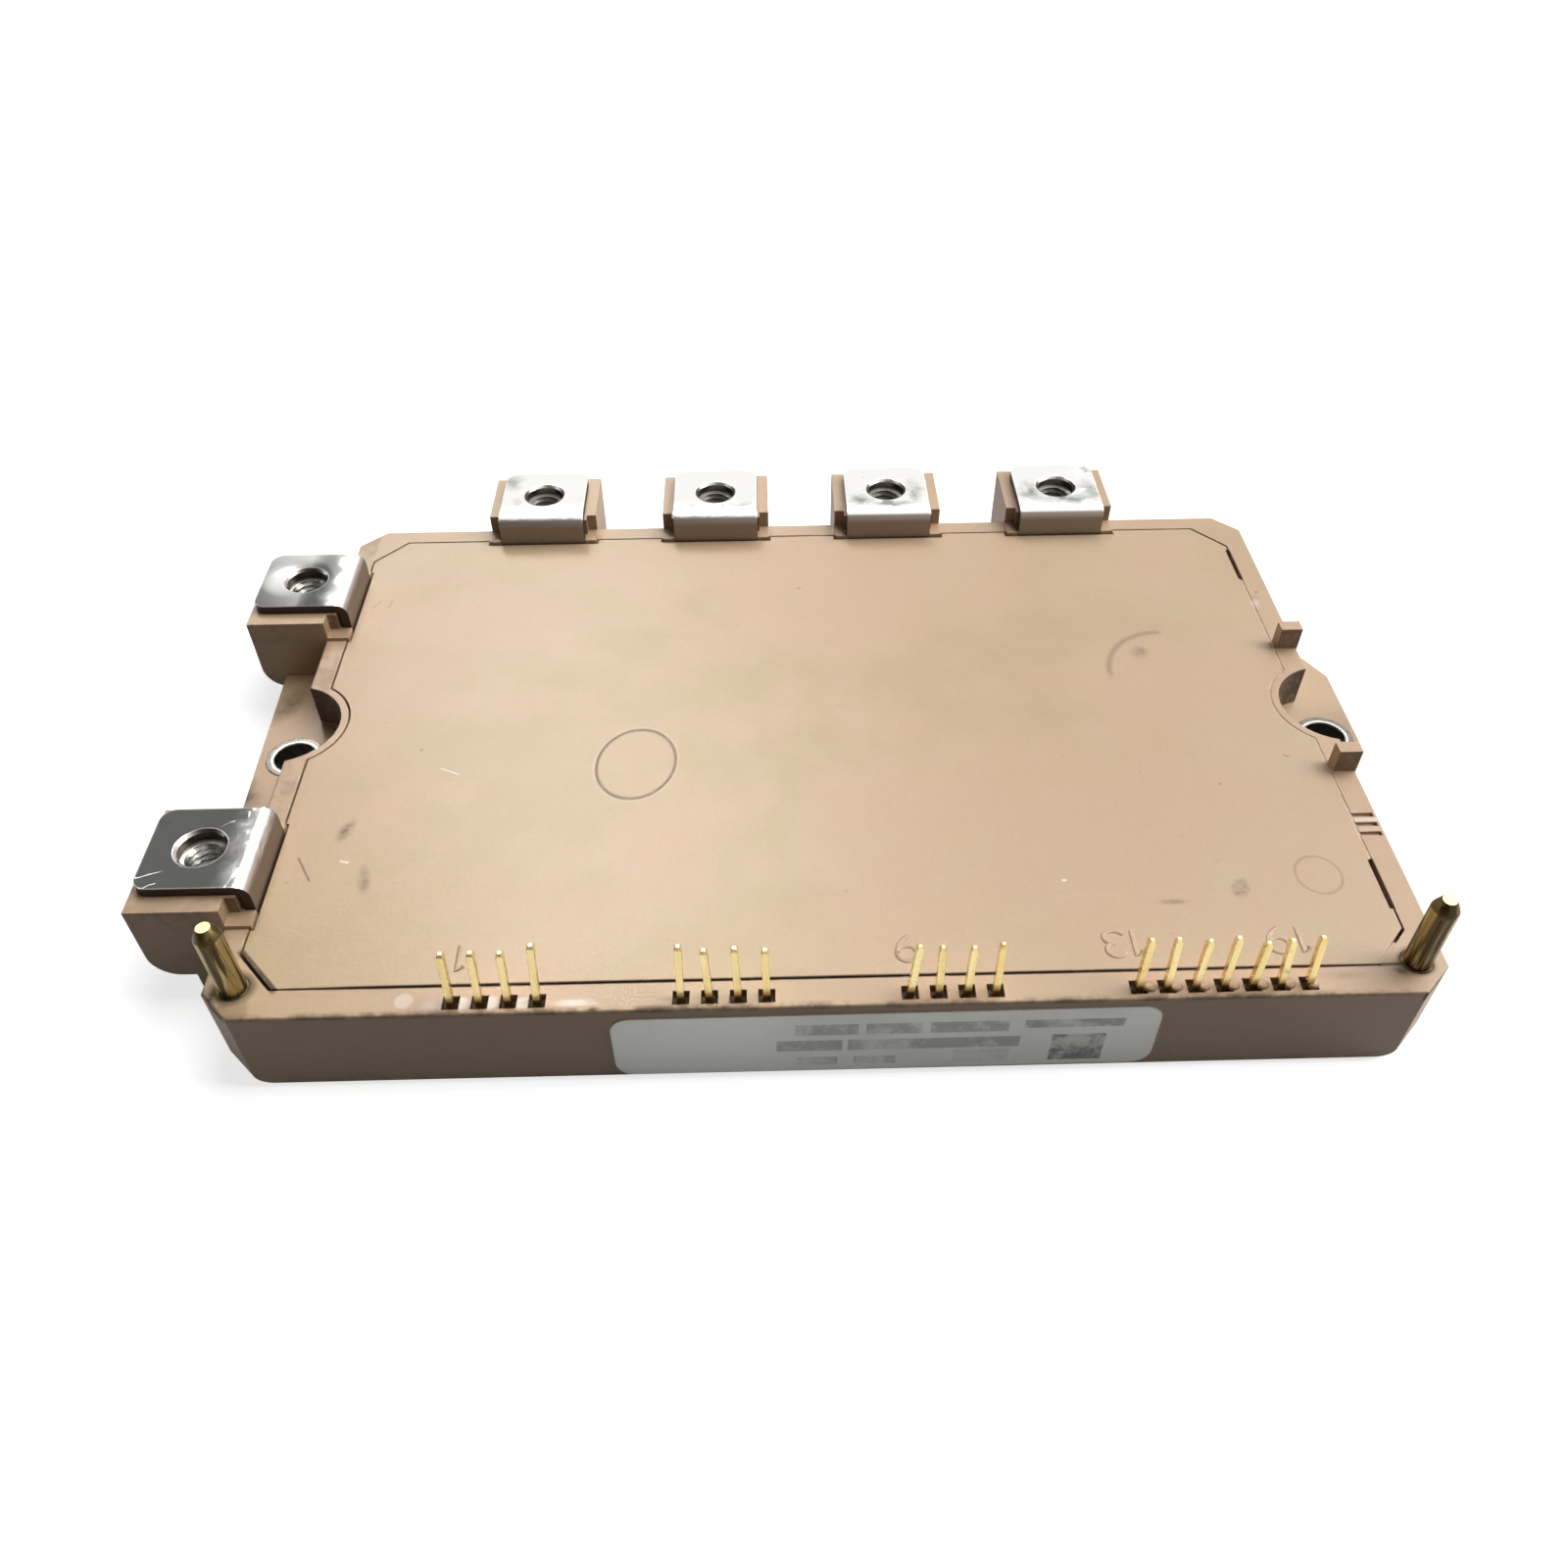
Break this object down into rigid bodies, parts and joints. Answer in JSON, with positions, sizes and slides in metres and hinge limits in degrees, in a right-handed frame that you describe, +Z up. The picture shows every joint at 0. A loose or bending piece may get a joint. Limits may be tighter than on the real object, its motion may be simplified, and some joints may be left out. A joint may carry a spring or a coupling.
{
  "type": "igbt module",
  "caption": "Flat power semiconductor module: moulded case on a metal base plate, bent screw terminals on two sides, a row of square control pins and two guide pins.",
  "frame": {"origin": "midway between the two mounting holes, on the underside of the base plate", "axes": "+X along the row of control pins, away from the two side terminals; +Y from the control pins to the four back terminals; +Z up, out of the heat sink"},
  "size_m": [0.1257, 0.0845, 0.0189],
  "materials": {
    "case_plastic": "moulded, satin",
    "lid_plastic": "moulded, satin",
    "base_nickel": "nickel plated, dull",
    "collar_steel": "plated, bright",
    "terminal_tin": "nickel plated, bright",
    "nut_steel": "plated",
    "pin_gold": "gold plated",
    "guide_brass": "turned",
    "label_film": "printed film",
    "substrate_ceramic": "fired",
    "track_copper": "bare copper",
    "chip_silicon": "metallised silicon",
    "wire_aluminium": "drawn",
    "board_laminate": "resist coated",
    "driver_body": "moulded",
    "gel": "soft and clear"
  },
  "bodies": {
    "root": {"base_plate": "base_nickel", "bond_wires": "wire_aluminium", "bus_bar_back": "track_copper", "bus_bar_front": "track_copper", "case_frame": "case_plastic", "ceramic_substrate_1": "substrate_ceramic", "ceramic_substrate_2": "substrate_ceramic", "ceramic_substrate_3": "substrate_ceramic", "control_board": "board_laminate", "control_pin_01": "pin_gold", "control_pin_02": "pin_gold", "control_pin_03": "pin_gold", "control_pin_04": "pin_gold", "control_pin_05": "pin_gold", "control_pin_06": "pin_gold", "control_pin_07": "pin_gold", "control_pin_08": "pin_gold", "control_pin_09": "pin_gold", "control_pin_10": "pin_gold", "control_pin_11": "pin_gold", "control_pin_12": "pin_gold", "control_pin_13": "pin_gold", "control_pin_14": "pin_gold", "control_pin_15": "pin_gold", "control_pin_16": "pin_gold", "control_pin_17": "pin_gold", "control_pin_18": "pin_gold", "control_pin_19": "pin_gold", "diode_chip_lower_1": "chip_silicon", "diode_chip_lower_2": "chip_silicon", "diode_chip_lower_3": "chip_silicon", "diode_chip_upper_1": "chip_silicon", "diode_chip_upper_2": "chip_silicon", "diode_chip_upper_3": "chip_silicon", "driver_chips": "driver_body", "guide_pin_left": "guide_brass", "guide_pin_right": "guide_brass", "igbt_chip_lower_1": "chip_silicon", "igbt_chip_lower_2": "chip_silicon", "igbt_chip_lower_3": "chip_silicon", "igbt_chip_upper_1": "chip_silicon", "igbt_chip_upper_2": "chip_silicon", "igbt_chip_upper_3": "chip_silicon", "label": "label_film", "lid": "lid_plastic", "main_terminal_back_1": "terminal_tin", "main_terminal_back_2": "terminal_tin", "main_terminal_back_3": "terminal_tin", "main_terminal_back_4": "terminal_tin", "main_terminal_left_back": "terminal_tin", "main_terminal_left_front": "terminal_tin", "mounting_collar_left": "collar_steel", "mounting_collar_right": "collar_steel", "silicone_gel": "gel", "substrate_copper_1": "track_copper", "substrate_copper_2": "track_copper", "substrate_copper_3": "track_copper", "terminal_nuts": "nut_steel"}
  },
  "joints": []
}
